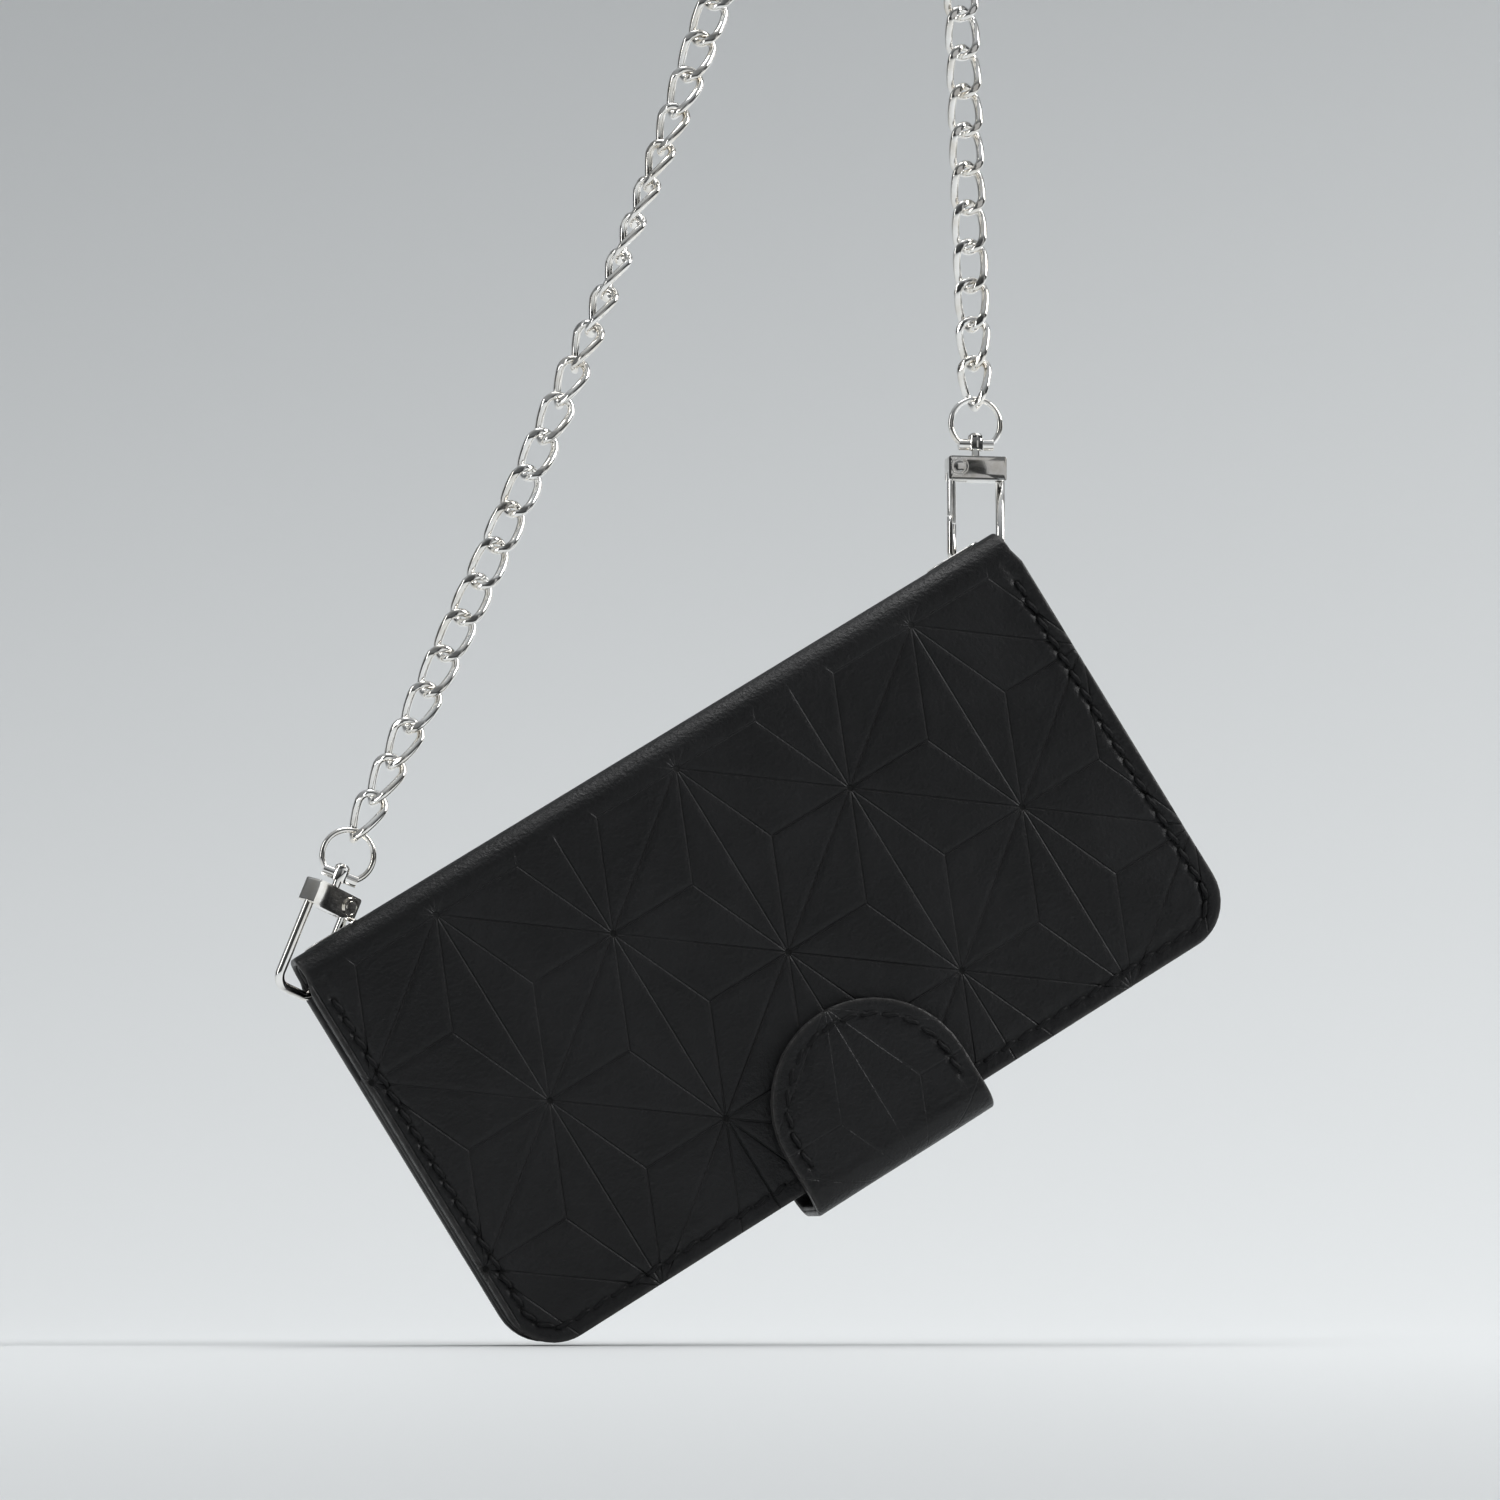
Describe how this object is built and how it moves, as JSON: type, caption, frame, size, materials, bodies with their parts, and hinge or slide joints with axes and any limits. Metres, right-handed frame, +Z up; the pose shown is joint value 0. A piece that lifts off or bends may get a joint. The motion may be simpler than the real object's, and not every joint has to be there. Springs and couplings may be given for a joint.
{
  "type": "chain wallet",
  "caption": "Folding leather wallet with a magnetic tab, hung by its spine from a curb chain with a swivel clasp at each end.",
  "frame": {"origin": "top of the chain's arch, on the inside of its links, where a hand or a peg carries the strap", "axes": "+X to the right and +Y away from the front cover, both level; +Z up. The wallet hangs tilted in the XZ plane, with its right end higher"},
  "size_m": [0.1813, 0.0223, 0.3024],
  "materials": {
    "outer_leather": "satin, pressed with a hemp-leaf pattern",
    "lining_leather": "smooth matte",
    "board": "grey fibre board",
    "thread": "waxed thread",
    "nickel": "polished nickel plate",
    "chain_metal": "polished nickel plate, lightly worn",
    "spring_steel": "plain",
    "magnet": "plated, hidden in the leather"
  },
  "bodies": {
    "arch": {"chain_arch": "chain_metal"},
    "chain_runs": {"left_chain_lower": "chain_metal", "left_chain_upper": "chain_metal", "right_chain_upper": "chain_metal", "right_chain_lower": "chain_metal"},
    "spine_body": {"spine": "outer_leather", "spine_lining": "lining_leather", "left_eyelet": "nickel", "left_eyelet_washer": "nickel", "left_swivel_post": "nickel", "left_clasp_block": "nickel", "left_clasp_frame": "nickel", "left_gate_rivet": "nickel", "left_gate_spring": "spring_steel", "right_eyelet": "nickel", "right_eyelet_washer": "nickel", "right_swivel_post": "nickel", "right_clasp_block": "nickel", "right_clasp_frame": "nickel", "right_gate_rivet": "nickel", "right_gate_spring": "spring_steel"},
    "front_body": {"front_cover": "outer_leather", "front_board": "board", "front_lining": "lining_leather", "card_pocket_rear": "lining_leather", "card_pocket_middle": "lining_leather", "card_pocket_front": "lining_leather", "front_stitching": "thread", "cover_magnet": "magnet"},
    "back_body": {"back_cover": "outer_leather", "back_board": "board", "back_lining": "lining_leather", "note_pocket_panel": "lining_leather", "back_stitching": "thread", "tab_root": "outer_leather", "root_stitching": "thread"},
    "tab_body": {"tab_flap": "outer_leather", "tab_lining": "lining_leather", "tab_magnet": "magnet", "tab_stitching": "thread"},
    "left_ring_body": {"left_swivel_ring": "nickel"},
    "right_ring_body": {"right_swivel_ring": "nickel"},
    "left_gate_body": {"left_gate": "nickel"},
    "right_gate_body": {"right_gate": "nickel"}
  },
  "joints": [
    {"name": "chain_sway", "type": "hinge", "parent": "arch", "child": "chain_runs", "pos_m": [0.00046, 0, -0.01333], "axis": [0.9899, 0, -0.1418], "range_deg": [-7, 7]},
    {"name": "wallet_swing", "type": "hinge", "parent": "chain_runs", "child": "spine_body", "pos_m": [-0.03666, -0.00124, -0.15743], "axis": [0.8117, 0.0169, 0.5838], "range_deg": [-20, 20]},
    {"name": "front_cover_open", "type": "hinge", "parent": "spine_body", "child": "front_body", "pos_m": [-0.03818, -0.0073, -0.18784], "axis": [-0.849, 0, -0.5284], "range_deg": [0, 90], "deforming": ["tab_flap", "tab_lining", "tab_magnet", "tab_stitching"]},
    {"name": "back_cover_open", "type": "hinge", "parent": "spine_body", "child": "back_body", "pos_m": [-0.03818, 0.0073, -0.18784], "axis": [0.849, 0, 0.5284], "range_deg": [0, 90]},
    {"name": "tab_open", "type": "hinge", "parent": "back_body", "child": "tab_body", "pos_m": [0.00526, 0.0091, -0.25762], "axis": [0.849, 0, 0.5284], "range_deg": [0, 170]},
    {"name": "left_swivel", "type": "hinge", "parent": "spine_body", "child": "left_ring_body", "pos_m": [-0.09822, -0.00248, -0.20493], "axis": [0.3681, 0, 0.9298], "range_deg": [-20, 20]},
    {"name": "right_swivel", "type": "hinge", "parent": "spine_body", "child": "right_ring_body", "pos_m": [0.02312, 0, -0.11929], "axis": [0, 0, 1], "range_deg": [-20, 20]},
    {"name": "left_gate_open", "type": "hinge", "parent": "spine_body", "child": "left_gate_body", "pos_m": [-0.09884, -0.00017, -0.21399], "axis": [-0.5976, 0.766, 0.2366], "range_deg": [0, 10], "stiffness_Nm_per_rad": 0.002, "springref_deg": -20.05},
    {"name": "right_gate_open", "type": "hinge", "parent": "spine_body", "child": "right_gate_body", "pos_m": [0.01952, 0, -0.12794], "axis": [0, -1, 0], "range_deg": [0, 30], "stiffness_Nm_per_rad": 0.002, "springref_deg": -20.05}
  ]
}
